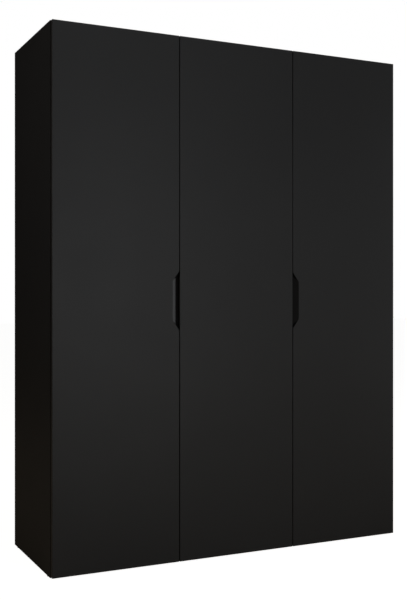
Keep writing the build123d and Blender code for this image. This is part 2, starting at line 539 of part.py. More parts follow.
def hinge(door, board, edge_x, inward, face_in, z):
    """One concealed hinge. inward is the direction along X from the door's hinged edge into the
    door, and face_in the place of the board's face that carries the mounting plate."""

    def at(point):
        return edge_x + inward * point[0], DOOR_BACK + point[1]

    def level(points, half_width, low, high):
        return bar([at(p) for p in points], half_width, z + low, z + high)

    def pin(point, low, high, radius=LINK_PIN):
        x, y = at(point)
        return rod((x, y, z + low), UPWARD, high - low, radius)

    # The cup is pressed into the door, with its flange on the door's back.
    cup_x, _ = at((CUP_IN, 0))
    bore = rod((cup_x, DOOR_BACK, z), (0, -1, 0), CUP_DEPTH, CUP_RADIUS)
    cuts[door].append(bore)
    screw_x, _ = at((CUP_SCREW_IN, 0))
    flange = rod((cup_x, DOOR_BACK, z), (0, 1, 0), CUP_FLANGE, CUP_RADIUS + CUP_FLANGE_LIP)
    for side in (-1, 1):
        wing_end = (screw_x, DOOR_BACK, z + side * CUP_SCREW_Z)
        flange = flange + rod(wing_end, (0, 1, 0), CUP_FLANGE, CUP_WING)
    flange = flange + block(
        screw_x - CUP_WING, screw_x + CUP_WING,
        DOOR_BACK, DOOR_BACK + CUP_FLANGE, z - CUP_SCREW_Z, z + CUP_SCREW_Z,
    )
    pocket = rod(
        (cup_x, DOOR_BACK + CUP_FLANGE, z), (0, -1, 0), CUP_FLANGE + CUP_POCKET_DEPTH, CUP_POCKET_RADIUS
    )
    # The rim is cut away beside the door's edge, where the links swing out.
    rim_x = sorted(at((s, 0))[0] for s in (0.0, RIM_GAP_IN))
    rim_gap = block(
        rim_x[0], rim_x[1],
        DOOR_BACK - RIM_GAP_DEPTH, DOOR_BACK + CUP_FLANGE, z - OUTER_HIGH - 1, z + OUTER_HIGH + 1,
    )
    cup = bore + flange - pocket - rim_gap
    for side in (-1, 1):
        low, high = sorted((side * CHEEK_LOW, side * CHEEK_HIGH))
        lug = level([INNER_CUP_PIN, (INNER_CUP_PIN[0], -CUP_LUG_FOOT)], CUP_LUG, low, high)
        cup = cup + lug
        low, high = sorted((side * (OUTER_LOW - 0.2), side * CUP_WALL_REACH))
        stub = pin(OUTER_CUP_PIN, low, high)
        cup = cup - stub
        keep(door + "_cup_pins", stub)
        start = (screw_x, DOOR_BACK + CUP_FLANGE, z + side * CUP_SCREW_Z)
        made, hole = screw(start, (0, -1, 0), CUP_SCREW_LENGTH, CUP_SCREW)
        cup = cup - hole
        cuts[door].append(hole)
        keep(door + "_cup_screws", made)
    inner_pin = pin(INNER_CUP_PIN, -CHEEK_HIGH, CHEEK_HIGH)
    keep(door + "_cup_pins", inner_pin)
    keep(door + "_hinge_cups", cup - inner_pin)

    # The links are bowed towards the cup's floor, so that they clear the rim when open.
    inner_line = [INNER_CUP_PIN, INNER_KNEE, INNER_ARM_PIN]
    inner_link = level(inner_line, INNER_BAR, -INNER_HALF, INNER_HALF)
    for point in (INNER_CUP_PIN, INNER_ARM_PIN):
        inner_link = inner_link + pin(point, -INNER_HALF, INNER_HALF, EYE_RADIUS)
    for point in (INNER_CUP_PIN, INNER_ARM_PIN):
        inner_link = inner_link - pin(point, -INNER_HALF, INNER_HALF, LINK_PIN + PIN_FIT)
    keep(door + "_inner_links", inner_link)

    for side in (-1, 1):
        low, high = sorted((side * OUTER_LOW, side * OUTER_HIGH))
        cheek = level([OUTER_CUP_PIN, OUTER_KNEE, OUTER_ARM_PIN], OUTER_BAR, low, high)
        cheek = cheek + pin(OUTER_CUP_PIN, low, high, OUTER_EYE + 0.7)
        cheek = cheek + pin(OUTER_ARM_PIN, low, high, OUTER_ARM_EYE)
        cheek = cheek - pin(OUTER_CUP_PIN, low, high, OUTER_EYE)
        cheek = cheek - pin(OUTER_ARM_PIN, low, high, LINK_PIN + PIN_FIT)
        keep(door + "_outer_links", cheek)

    # The arm: two cheeks that carry the pins, closed by a web along the straight run.
    run_in = face_in + ARM_RUN_OFF
    bend = (run_in, ARM_BEND_BACK)
    run_end = (run_in, ARM_END_BACK)
    arm = None
    for side in (-1, 1):
        low, high = sorted((side * CHEEK_LOW, side * CHEEK_HIGH))
        cheek = level([INNER_ARM_PIN, OUTER_ARM_PIN], EYE_RADIUS, low, high)
        cheek = cheek + level([OUTER_ARM_PIN, ARM_NECK, bend, run_end], ARM_BAR, low, high)
        arm = cheek if arm is None else arm + cheek
    web_line = [(bend[0] + WEB_OFF, bend[1] + 1.0), (run_end[0] + WEB_OFF, run_end[1])]
    web = level(web_line, WEB_HALF, -CHEEK_HIGH + 0.1, CHEEK_HIGH - 0.1)
    sleeve = pin(OUTER_ARM_PIN, -CHEEK_HIGH, CHEEK_HIGH, EYE_RADIUS)
    arm = arm + web + sleeve - pin(OUTER_ARM_PIN, -OUTER_HIGH, OUTER_HIGH)
    arm = arm - pin(INNER_ARM_PIN, -OUTER_HIGH, OUTER_HIGH)
    keep("hinge_arm_pins", pin(INNER_ARM_PIN, -CHEEK_HIGH, CHEEK_HIGH))
    keep("hinge_arm_pins", pin(OUTER_ARM_PIN, -OUTER_HIGH, OUTER_HIGH))

    # The mounting plate is screwed to the board, and one screw holds the arm on it.
    def across(in_low, in_high, back_low, back_high, low, high):
        xs = sorted((at((in_low, 0))[0], at((in_high, 0))[0]))
        return block(xs[0], xs[1], DOOR_BACK + back_low, DOOR_BACK + back_high, z + low, z + high)

    plate = across(face_in, face_in + PLATE_RISE, PLATE_LENGTH[0], PLATE_LENGTH[1], -PLATE_HALF, PLATE_HALF)
    plate = plate + across(
        face_in, face_in + PLATE_WING,
        PLATE_LINE - PLATE_WING_HALF, PLATE_LINE + PLATE_WING_HALF, -PLATE_WING_REACH, PLATE_WING_REACH,
    )
    for side in (-1, 1):
        x, y = at((face_in + PLATE_WING, PLATE_LINE))
        start = (x, y, z + side * PLATE_SCREW_Z)
        made, hole = screw(start, (-inward, 0, 0), PLATE_SCREW_LENGTH, PLATE_SCREW)
        plate = plate - hole
        cuts[board].append(hole)
        keep("mounting_plate_screws", made)
    web_in = bend[0] + WEB_OFF + WEB_HALF
    x, y = at((web_in, PLATE_LINE))
    reach = web_in - face_in - ARM_SCREW_END
    head_radius, head_rise = ARM_SCREW_HEAD
    stem = rod((x, y, z), (-inward, 0, 0), reach, ARM_SCREW)
    head = rod((x, y, z), (inward, 0, 0), head_rise, head_radius)
    length, width, depth = ARM_SCREW_SLOT
    slot = Pos(x + inward * head_rise, y, z) * (Box(depth, length, width) + Box(depth, width, length))
    keep("hinge_arm_screws", stem + head - slot)
    keep("mounting_plates", plate - stem)
    keep(door + "_hinge_arms", arm - stem)

    # A bent leaf spring lies inside the arm, between its cheeks.
    spring_in = face_in + SPRING_OFF
    leaf_ins = (spring_in, spring_in - SPRING_BOW, spring_in)
    thickness, height = SPRING_HALF
    spring = level(list(zip(leaf_ins, SPRING_BACK)), thickness, -height, height)
    keep("hinge_springs", spring)


for z in HINGES_Z:
    left_edge = door_edges["left_door"][0]
    hinge("left_door", "left_side_panel", left_edge, 1, -INNER_X - left_edge, z)
    middle_edge = door_edges["middle_door"][1]
    hinge("middle_door", "divider_panel", middle_edge, -1, middle_edge - DIVIDER_LEFT, z)
    right_edge = door_edges["right_door"][1]
    hinge("right_door", "right_side_panel", right_edge, -1, right_edge - INNER_X, z)

# ---------------------------------------------------------------- drill the boards and write
for name, solid in boards.items():
    drilled = solid - cuts[name] if cuts.get(name) else solid
    keep(name, drilled)

for name, solids in nodes.items():
    shape = solids[0] if len(solids) == 1 else Compound(children=solids)
    export_step(shape, "parts/" + name + ".step")
    print(name, len(solids), "solids")
print(len(nodes), "nodes")
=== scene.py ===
# %% [markdown]
# # A black wardrobe with three flush doors
#
# The wardrobe is flat-pack furniture: 18 mm boards faced with black melamine, thin hardboard
# backs, steel hinges and screws. The boards, joints and fittings already exist as an exact model.
# This lesson dresses it: it gives the plain boards their milled edges and every board its matt
# skin, turns the small round fittings as surfaces of revolution, and sets up a plain studio.
#
# Everything is in metres, with the floor at z = 0, the doors facing -Y and +X to the right.

# %% Load the model as a fixed frame
import json
import math

import bpy
import numpy as np
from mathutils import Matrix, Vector


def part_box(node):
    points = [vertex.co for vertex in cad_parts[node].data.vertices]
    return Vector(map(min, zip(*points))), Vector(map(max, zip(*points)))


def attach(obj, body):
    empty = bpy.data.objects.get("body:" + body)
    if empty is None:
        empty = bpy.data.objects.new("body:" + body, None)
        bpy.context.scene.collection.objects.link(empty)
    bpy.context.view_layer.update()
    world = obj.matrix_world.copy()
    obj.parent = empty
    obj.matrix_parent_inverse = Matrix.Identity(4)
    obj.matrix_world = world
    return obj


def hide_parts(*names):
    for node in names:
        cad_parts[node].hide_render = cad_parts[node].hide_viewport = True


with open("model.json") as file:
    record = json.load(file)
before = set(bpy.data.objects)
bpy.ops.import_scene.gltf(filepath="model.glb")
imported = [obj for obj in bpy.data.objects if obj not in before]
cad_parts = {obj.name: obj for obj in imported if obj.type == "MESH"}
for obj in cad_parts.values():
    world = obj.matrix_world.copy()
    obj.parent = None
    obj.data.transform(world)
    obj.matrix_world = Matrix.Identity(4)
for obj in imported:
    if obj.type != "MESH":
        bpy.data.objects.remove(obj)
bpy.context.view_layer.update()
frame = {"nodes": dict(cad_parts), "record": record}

MM = 0.001
print("parts in the model:", len(frame["nodes"]))

# %% [markdown]
# ## Putting a surface into a mesh
#
# Every new piece is a grid of points: row after row, each row one closed loop round the piece.
# Neighbouring rows are joined by four-sided faces, and the two ends are closed by a flat cap. One
# helper turns such a grid into faces, so that each piece only has to say where its points are.


# %% Grid helpers
def grid_faces(rows, columns, close_rows=False):
    """Quads between neighbouring rows of a grid whose columns run round a closed loop.

    Face (i, j) joins points (i, j), (i, j+1), (i+1, j+1) and (i+1, j), counted round the loop.
    """
    row = np.arange(rows if close_rows else rows - 1)[:, None]
    column = np.arange(columns)[None, :]
    below, above = row * columns, (row + 1) % rows * columns
    here, beside = column, (column + 1) % columns
    quads = np.stack([below + here, below + beside, above + beside, above + here], axis=-1)
    return quads.reshape(-1, 4).tolist()


def closed_loops(loops, close_rows=False):
    """Points and faces of a stack of loops, an array (rows, columns, 3), with flat end caps."""
    rows, columns, _ = loops.shape
    faces = grid_faces(rows, columns, close_rows=close_rows)
    if not close_rows:
        faces.append(list(range(columns))[::-1])
        faces.append(list(range((rows - 1) * columns, rows * columns)))
    return loops.reshape(-1, 3), faces


def together(shapes):
    """Several (points, faces) shapes as one."""
    points, faces, count = [], [], 0
    for shape_points, shape_faces in shapes:
        points.append(shape_points)
        faces += [[index + count for index in face] for face in shape_faces]
        count += len(shape_points)
    return np.concatenate(points), faces


print("faces between three loops of four points:", len(grid_faces(3, 4)))


# %% A piece that stands for a part of the model
def make_piece(name, shape, node, smooth_below=None):
    """A mesh object that stands for a CAD node, rides on its body and takes its finish.

    Faces larger than smooth_below, in square metres, stay flat: they are the broad plane faces.
    """
    points, faces = shape
    mesh = bpy.data.meshes.new(name)
    mesh.from_pydata(points.tolist(), [], faces)
    area = np.zeros(len(mesh.polygons))
    mesh.polygons.foreach_get("area", area)
    limit = np.inf if smooth_below is None else smooth_below
    mesh.polygons.foreach_set("use_smooth", area < limit)
    piece = bpy.data.objects.new(name, mesh)
    bpy.context.collection.objects.link(piece)
    body = next(b for b, nodes in frame["record"]["behaviour"]["bodies"].items() if node in nodes)
    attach(piece, body)
    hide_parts(node)
    pieces[node] = piece
    return piece


slot_of = {part["node"]: part["material_slot"] for part in frame["record"]["subparts"]}
pieces = {}
print("finishes:", sorted(set(slot_of.values())))

# %% [markdown]
# ## Boards with milled edges
#
# A melamine board is sawn square, its edge is glued up with a thin strip, and a cutter then
# breaks the strip's corner to a small radius so that it isn't sharp to the hand. That radius is
# what catches the light along the front edges of the sides and shelves. A Bevel modifier on a
# cube would do, but here the board is written out as the surface that the cutter leaves: a
# rounded rectangle carried along the board, which shrinks by a quarter circle at both ends.


# %% The board surface
EDGE_RADIUS = 0.8 * MM
ARC_STEPS = 4
FIRST_RING = math.radians(12)  # the end cap's ring, so that the cap keeps a small flat rim


def rounded_board(low, high, radius=EDGE_RADIUS):
    """A box with every edge rounded.

    Ring: a rectangle's corner centre plus r sin(p) times the unit circle at angle q.
    Along the board: the end plane minus r (1 - cos(p)), where p goes from nearly 0 to 90 degrees.
    """
    low, high = np.array(low), np.array(high)
    along = int(np.argmax(high - low))
    across, up = (along + 1) % 3, (along + 2) % 3
    middle, half = (low + high) / 2, (high - low) / 2
    turn = np.linspace(0, math.pi / 2, ARC_STEPS + 1)
    quarter = np.arange(4)[:, None] * math.pi / 2
    q = (quarter + turn[None, :]).ravel()
    sign_across = np.repeat([1, -1, -1, 1], ARC_STEPS + 1)
    sign_up = np.repeat([1, 1, -1, -1], ARC_STEPS + 1)
    p = np.linspace(FIRST_RING, math.pi / 2, ARC_STEPS + 1)
    reach = radius * np.sin(p)
    inset = radius * (1 - np.cos(p))
    ring_radius = np.concatenate([reach, reach[::-1]])
    ring_place = np.concatenate([-half[along] + inset, half[along] - inset[::-1]])
    loops = np.zeros((len(ring_radius), len(q), 3))
    loops[..., along] = ring_place[:, None]
    loops[..., across] = sign_across * (half[across] - radius) + ring_radius[:, None] * np.cos(q)
    loops[..., up] = sign_up * (half[up] - radius) + ring_radius[:, None] * np.sin(q)
    return closed_loops(loops + middle)


# %% The boards that are plain rectangles
PLAIN_BOARDS = [
    "left_side_panel", "top_panel", "bottom_panel", "hat_shelf", "fixed_shelf",
    "lower_shelf", "second_shelf", "third_shelf", "upper_shelf",
    "plinth_front_rail", "plinth_back_rail", "plinth_cross_brace",
]
BROAD_FACE = 1e-5  # square metres
for node in PLAIN_BOARDS:
    board = make_piece(node + "_board", rounded_board(*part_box(node)), node, BROAD_FACE)
    print(board.name, [round(size, 4) for size in board.dimensions])

# %% [markdown]
# ## Turned and drawn fittings
#
# The clothes rail, its sockets, the floor glides, the door bumpers and the shelf pins are all
# round: the real ones are rolled, pressed or moulded about one axis. A surface of revolution
# says that directly. Its outline is a list of (radius, height) points; the points on a rounded
# lip come from a quarter circle rather than being typed in. An outline that comes to the axis
# stops just short of it, and the pinhole that is left gets a flat cap.


# %% The surface of revolution
PINHOLE = 0.02  # share of the radius


def arc(centre_r, centre_h, radius, start, end, steps=6):
    """Points of a profile's arc: centre + radius (cos a, sin a), a from start to end degrees."""
    a = np.radians(np.linspace(start, end, steps + 1))
    return np.stack([centre_r + radius * np.cos(a), centre_h + radius * np.sin(a)], axis=-1)


def turned(profile, start, axis, steps=48, ring=False):
    """A profile of (radius, height) turned about an axis through start.

    Point (i, j) = start + height_i * axis + radius_i * (cos(t_j) e1 + sin(t_j) e2).
    A ring's profile is a closed loop. Otherwise both ends are closed by a flat cap.
    """
    profile = np.array(profile)
    axis = Vector(axis).normalized()
    e1 = axis.orthogonal().normalized()
    e2 = axis.cross(e1)
    t = np.linspace(0, 2 * math.pi, steps, endpoint=False)[None, :, None]
    around_axis = np.cos(t) * np.array(e1) + np.sin(t) * np.array(e2)
    radius, height = profile[:, 0, None, None], profile[:, 1, None, None]
    loops = np.array(start) + height * np.array(axis) + radius * around_axis
    return closed_loops(loops, close_rows=ring)


print("points on a quarter circle:", len(arc(0, 0, 1, 0, 90)))

# %% [markdown]
# ### Clothes rail
#
# The rail is a drawn steel tube, cut to length with its rims rolled over so that they don't
# scratch the sockets. Its profile is a closed loop: round one rim, along the outside, round the
# other rim and back along the bore.

# %% The clothes rail: a tube with rolled ends
RAIL_WALL = 1.2 * MM
rail_low, rail_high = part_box("clothes_rail")
rail_middle = (np.array(rail_low) + np.array(rail_high)) / 2
rail_radius = (rail_high.z - rail_low.z) / 2
rail_length = rail_high.x - rail_low.x
lip = RAIL_WALL / 2
rail_profile = np.concatenate([
    arc(rail_radius - lip, lip, lip, -180, 0),
    arc(rail_radius - lip, rail_length - lip, lip, 0, 180),
])
rail_start = (rail_low.x, rail_middle[1], rail_middle[2])
rail_tube = turned(rail_profile, rail_start, (1, 0, 0), ring=True)
make_piece("clothes_rail_tube", rail_tube, "clothes_rail")
print("rail radius and length:", round(rail_radius, 4), round(rail_length, 4))

# %% [markdown]
# ### Rail sockets
#
# Each socket is one pressing: a round flange that is screwed to the board, and a cup that rises
# from it and takes the end of the rail. The press leaves a fillet where the cup leaves the
# flange, and small radii at the cup's mouth and the flange's rim.

# %% The rail's sockets: a pressed flange with a raised cup
SOCKET_PLATE = 2.3 * MM
SOCKET_FLANGE = 26.0 * MM
SOCKET_CUP = 15.0 * MM
SOCKET_BORE = 12.6 * MM
SOCKET_TALL = 16.5 * MM
SOCKET_FLOOR = 2.5 * MM
SOCKET_LIP = 1.0 * MM
SOCKET_FILLET = 1.6 * MM
MOUTH_START = 150  # degrees: the mouth's arc begins inside the bore
socket_profile = np.concatenate([
    [[SOCKET_BORE * PINHOLE, SOCKET_FLOOR], [SOCKET_BORE, SOCKET_FLOOR]],
    arc(SOCKET_CUP - SOCKET_LIP, SOCKET_TALL - SOCKET_LIP, SOCKET_LIP, MOUTH_START, 0),
    arc(SOCKET_CUP + SOCKET_FILLET, SOCKET_PLATE + SOCKET_FILLET, SOCKET_FILLET, 180, 270),
    arc(SOCKET_FLANGE - SOCKET_LIP, SOCKET_PLATE - SOCKET_LIP, SOCKET_LIP, 90, 0),
    [[SOCKET_FLANGE, 0.0], [SOCKET_FLANGE * PINHOLE, 0.0]],
])[::-1]
socket_low, socket_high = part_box("rail_sockets")
socket_ends = [(socket_low.x, (1, 0, 0)), (socket_high.x, (-1, 0, 0))]
sockets = [
    turned(socket_profile, (x, rail_middle[1], rail_middle[2]), axis, steps=64)
    for x, axis in socket_ends
]
make_piece("rail_socket_pressings", together(sockets), "rail_sockets")
print("sockets:", len(sockets))

# %% [markdown]
# ### Parts that come in many copies
#
# The glides, bumpers and pins are each one part of the model with several separate solids. Each
# copy's box says where it goes, so one shape function serves them all and no place is typed in.


# %% The separate copies inside one CAD part
def copies_in(node):
    """The boxes of a CAD part's separate solids: an array (copies, 2, 3) of low, high corners.

    Points at one place are one point. Every point starts with its own number, and both ends of an
    edge take the lower of their numbers until nothing changes, so a solid ends up with one number.
    """
    mesh = frame["nodes"][node].data
    points = np.zeros(len(mesh.vertices) * 3)
    mesh.vertices.foreach_get("co", points)
    ends = np.zeros(len(mesh.edges) * 2, dtype=int)
    mesh.edges.foreach_get("vertices", ends)
    points, weld = np.unique(np.round(points.reshape(-1, 3), 7), axis=0, return_inverse=True)
    ends = weld.reshape(-1)[ends].reshape(-1, 2)
    number = np.arange(len(points))
    settled = False
    while not settled:
        lower = number[ends].min(axis=1)
        before = number.copy()
        np.minimum.at(number, ends[:, 0], lower)
        np.minimum.at(number, ends[:, 1], lower)
        settled = np.array_equal(before, number)
    return np.array([
        [points[number == one].min(axis=0), points[number == one].max(axis=0)]
        for one in np.unique(number)
    ])


def copies_of(name, node, one_copy):
    """One mesh with a shape for each separate solid of a CAD part."""
    boxes = copies_in(node)
    make_piece(name, together([one_copy(low, high) for low, high in boxes]), node)
    print(name, "copies:", len(boxes))


# %% [markdown]
# ### Floor glides
#
# A glide is a plastic foot moulded round a nail, and hammered into the lower edge of a board.
# Its tread is rounded so that the wardrobe slides when it is pushed into place.

# %% Floor glides: a moulded foot with a rounded tread and a nail
FOOT_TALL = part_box("left_side_panel")[0].z
FOOT_ROUND = 1.0 * MM
NAIL = 1.3 * MM
NAIL_POINT = 3.0 * MM


def glide(low, high):
    """A disc whose tread is rounded off by a quarter circle, and a nail with a conical point."""
    middle = (low + high) / 2
    radius = (high[0] - low[0]) / 2
    tall = high[2] - low[2]
    profile = np.concatenate([
        [[radius * PINHOLE, 0.0]],
        arc(radius - FOOT_ROUND, FOOT_ROUND, FOOT_ROUND, -90, 0),
        [[radius, FOOT_TALL], [NAIL, FOOT_TALL], [NAIL, tall - NAIL_POINT], [NAIL * PINHOLE, tall]],
    ])
    return turned(profile, (middle[0], middle[1], low[2]), (0, 0, 1), steps=32)


copies_of("floor_glide_feet", "floor_glides", glide)

# %% [markdown]
# ### Door bumpers
#
# A bumper is a drop of gel on the door's back that keeps it from slamming. A drop spreads into a
# flat dome, which half an ellipse turned about the door's depth describes well.

# %% Door bumpers: flattened domes of gel on the doors' backs
DOME_STEPS = 9
DOME_TOP = 89  # degrees: just short of the axis


def dome(low, high):
    """Half an ellipse turned about the door's depth: radius R cos(a), height H sin(a)."""
    middle = (low + high) / 2
    a = np.radians(np.linspace(0, DOME_TOP, DOME_STEPS))
    radius, tall = (high[0] - low[0]) / 2, high[1] - low[1]
    profile = np.stack([radius * np.cos(a), tall * np.sin(a)], axis=-1)
    return turned(profile, (middle[0], low[1], middle[2]), (0, 1, 0), steps=24)


for door in ("left_door", "middle_door", "right_door"):
    copies_of(door + "_bumper_domes", door + "_bumpers", dome)

# %% [markdown]
# ### Shelf pins
#
# A shelf pin is pushed into one of the bores in the side of a compartment. Its collar is turned
# off centre, a little lower than the shank, so that it stops at the board without standing up
# under the shelf.

# %% Shelf pins: a round shank with a collar that stops it at the board
PIN_RADIUS = 2.5 * MM
PIN_TIP = 0.8 * MM
COLLAR_RADIUS = 3.2 * MM
COLLAR_THICK = 0.9 * MM
COLLAR_EDGE = 0.3 * MM
bay_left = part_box("divider_panel")[1].x
bay_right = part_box("right_side_panel")[0].x


def rounded_pin(radius, length, rim):
    """The profile of a cylinder whose two rims are quarter circles."""
    return np.concatenate([
        [[radius * PINHOLE, 0.0]],
        arc(radius - rim, rim, rim, -90, 0),
        arc(radius - rim, length - rim, rim, 0, 90),
        [[radius * PINHOLE, length]],
    ])


def shelf_pin(low, high):
    """The shank turned about its axis, and the collar turned about an axis a little lower."""
    y = (low[1] + high[1]) / 2
    at_left = low[0] < bay_left < high[0]
    start, face, inward = (low[0], bay_left, 1) if at_left else (high[0], bay_right, -1)
    shank = rounded_pin(PIN_RADIUS, high[0] - low[0], PIN_TIP)
    collar = rounded_pin(COLLAR_RADIUS, COLLAR_THICK, COLLAR_EDGE)
    return together([
        turned(shank, (start, y, high[2] - PIN_RADIUS), (inward, 0, 0), steps=24),
        turned(collar, (face, y, low[2] + COLLAR_RADIUS), (inward, 0, 0), steps=24),
    ])


copies_of("shelf_pin_shanks", "shelf_pins", shelf_pin)

# %% [markdown]
# ## Finishes
#
# Each finish is a short function that builds one node tree. All patterns read the object's own
# coordinates in metres, so a scale of 100 means a pattern about a centimetre across, and a
# pattern stays put when a door swings. Noise rarely leaves the middle of its range, so it is
# spread from one of three stretches of that middle: the narrower one gives more contrast.


# %% Shader helpers: the material, noise and mixing
SOFT = (0.3, 0.7)
MEDIUM = (0.35, 0.65)
HARD = (0.42, 0.62)


def new_finish(name, metallic=0.0, colour=None, roughness=0.5):
    """A material with one Principled shader, and its tree, shader and coordinates."""
    material = bpy.data.materials.new(name)
    material.use_nodes = True
    tree = material.node_tree
    shader = tree.nodes["Principled BSDF"]
    shader.inputs["Metallic"].default_value = metallic
    shader.inputs["Roughness"].default_value = roughness
    if colour:
        shader.inputs["Base Color"].default_value = (*colour, 1)
    coordinates = tree.nodes.new("ShaderNodeTexCoord")
    return material, tree, shader, coordinates


def noise(tree, source, scale, detail=3.0, stretch=(1, 1, 1)):
    """Soft noise, scale being patches per metre, stretched by a Mapping node where asked."""
    mapping = tree.nodes.new("ShaderNodeMapping")
    mapping.inputs["Scale"].default_value = stretch
    tree.links.new(source, mapping.inputs["Vector"])
    texture = tree.nodes.new("ShaderNodeTexNoise")
    texture.inputs["Scale"].default_value = scale
    texture.inputs["Detail"].default_value = detail
    tree.links.new(mapping.outputs["Vector"], texture.inputs["Vector"])
    return texture.outputs["Fac"]


def spread(tree, value, from_low, from_high, to_low, to_high):
    """Maps a value from one range to another, clamped at both ends."""
    node = tree.nodes.new("ShaderNodeMapRange")
    for socket, number in zip(node.inputs[1:5], (from_low, from_high, to_low, to_high)):
        socket.default_value = number
    tree.links.new(value, node.inputs[0])
    return node.outputs[0]


def blend_colours(tree, share, first, second):
    """Mixes two colours, each a constant or another node's output, by a share from 0 to 1."""
    node = tree.nodes.new("ShaderNodeMix")
    node.data_type = "RGBA"
    tree.links.new(share, node.inputs[0])
    for socket, colour in ((node.inputs[6], first), (node.inputs[7], second)):
        if isinstance(colour, bpy.types.NodeSocket):
            tree.links.new(colour, socket)
        else:
            socket.default_value = (*colour, 1)
    return node.outputs[2]


def arithmetic(tree, operation, first, second):
    """One Math node on two values, each a number or another node's output."""
    node = tree.nodes.new("ShaderNodeMath")
    node.operation = operation
    for socket, value in zip(node.inputs, (first, second)):
        if isinstance(value, bpy.types.NodeSocket):
            tree.links.new(value, socket)
        else:
            socket.default_value = value
    return node.outputs[0]


print("noise is spread from:", SOFT, MEDIUM, HARD)


# %% Shader helpers: small relief, edges and directions
EDGE_TURN = (0.995, 0.9)  # the cosines where an edge begins and is full
EDGE_SAMPLES = 4


def bump(tree, shader, height, distance, strength=1.0):
    """Roughens the surface: distance is the height of the pattern in metres."""
    node = tree.nodes.new("ShaderNodeBump")
    node.inputs["Strength"].default_value = strength
    node.inputs["Distance"].default_value = distance
    tree.links.new(height, node.inputs["Height"])
    tree.links.new(node.outputs["Normal"], shader.inputs["Normal"])


def edge_mask(tree, radius):
    """1 within radius of a sharp edge, 0 on the broad faces, by how far a rounded normal turns."""
    rounded = tree.nodes.new("ShaderNodeBevel")
    rounded.samples = EDGE_SAMPLES
    rounded.inputs["Radius"].default_value = radius
    geometry = tree.nodes.new("ShaderNodeNewGeometry")
    dot = tree.nodes.new("ShaderNodeVectorMath")
    dot.operation = "DOT_PRODUCT"
    tree.links.new(rounded.outputs["Normal"], dot.inputs[0])
    tree.links.new(geometry.outputs["Normal"], dot.inputs[1])
    return spread(tree, dot.outputs["Value"], *EDGE_TURN, 0.0, 1.0)


def facing(tree, coordinates, axis):
    """How far a face points along +X, +Y or +Z of its part, from -1 to 1."""
    split = tree.nodes.new("ShaderNodeSeparateXYZ")
    tree.links.new(coordinates.outputs["Normal"], split.inputs[0])
    return split.outputs["XYZ".index(axis)]


finishes = {}
print("an edge is found by its cosine, from and to:", EDGE_TURN)

# %% [markdown]
# ### Black melamine
#
# The boards are faced with paper soaked in resin and pressed against a fine pearl-grained plate.
# The skin is nearly black, with a broad soft sheen. It is never quite even: the grain breaks up
# the sheen, hands leave faint smudges, and the glued edge strip is a little smoother and paler
# than the face. The strip is found from the direction a face points in, so one function makes
# three materials, one for each way that a board can lie.

# %% Melamine in three directions
MELAMINE_DARK = (0.0086, 0.0080, 0.0080)
MELAMINE_LIGHT = (0.0112, 0.0106, 0.0107)
EDGE_STRIP = (0.022, 0.0205, 0.0200)
WORN_EDGE = (0.035, 0.034, 0.033)
SMUDGES = 2.6          # patches per metre
HANDLING = 9
WEAR_PATCHES = 60
PEARL_GRAIN = 1500
PEARL_HEIGHT = 0.03 * MM
WORN_WIDTH = 0.9 * MM
FACE_ROUGHNESS = (0.48, 0.495)
STRIP_SMOOTHER = 0.08
LACQUER_SMOOTHER = 0.27
STRIP_FACING = (0.4, 0.3)         # the cosines between a broad face and an edge strip
SLOPE_FACING = (0.985, 0.965)     # the cosines between a broad face and a notch's slope


def melamine(name, face_axis):
    """The board finish, for boards whose broad faces point along X, Y or Z.

    A face that leans a little out of that direction is the milled slope of a finger notch, which
    is sanded and sprayed with a smoother lacquer.
    """
    material, tree, shader, coordinates = new_finish(name)
    place = coordinates.outputs["Object"]
    smudges = spread(tree, noise(tree, place, SMUDGES, 4.0), *MEDIUM, 0, 1)
    colour = blend_colours(tree, smudges, MELAMINE_DARK, MELAMINE_LIGHT)
    along = arithmetic(tree, "ABSOLUTE", facing(tree, coordinates, face_axis), 0)
    strip = spread(tree, along, *STRIP_FACING, 0, 1)
    colour = blend_colours(tree, strip, colour, EDGE_STRIP)
    patchy = spread(tree, noise(tree, place, WEAR_PATCHES, 3.0), *HARD, 0, 1)
    wear = arithmetic(tree, "MULTIPLY", edge_mask(tree, WORN_WIDTH), patchy)
    colour = blend_colours(tree, wear, colour, WORN_EDGE)
    tree.links.new(colour, shader.inputs["Base Color"])
    roughness = spread(tree, noise(tree, place, HANDLING, 3.0), *SOFT, *FACE_ROUGHNESS)
    strip_share = arithmetic(tree, "MULTIPLY", strip, STRIP_SMOOTHER)
    roughness = arithmetic(tree, "SUBTRACT", roughness, strip_share)
    leaning = spread(tree, along, *SLOPE_FACING, 0, 1)
    slope = arithmetic(tree, "MULTIPLY", leaning, arithmetic(tree, "SUBTRACT", 1.0, strip))
    slope_share = arithmetic(tree, "MULTIPLY", slope, LACQUER_SMOOTHER)
    roughness = arithmetic(tree, "SUBTRACT", roughness, slope_share)
    tree.links.new(roughness, shader.inputs["Roughness"])
    bump(tree, shader, noise(tree, place, PEARL_GRAIN, 2.0), PEARL_HEIGHT, 0.35)
    return material


melamines = {axis: melamine("black_melamine_facing_" + axis.lower(), axis) for axis in "XYZ"}
print("melamine finishes:", [material.name for material in melamines.values()])

# %% [markdown]
# ### Hardboard backs
#
# The thin back is a fibre board, printed black on the side that shows inside the wardrobe and
# left raw on the side that stands against the wall. Its outside is brown and finely mottled.
# The two sides are told apart by the direction a face points in.

# %% Hardboard
RAW_FIBRE = (0.165, 0.092, 0.048)
RAW_FIBRE_DARK = (0.110, 0.060, 0.031)
PRINTED_BLACK = (0.0110, 0.0105, 0.0102)
FIBRES = 420           # patches per metre
CLOUDS = 7
FIBRE_SHARE = 0.6
FIBRE_HEIGHT = 0.08 * MM
INSIDE_FACING = (-0.4, -0.6)
RAW_ROUGHNESS = 0.78
PRINT_ROUGHNESS = 0.5


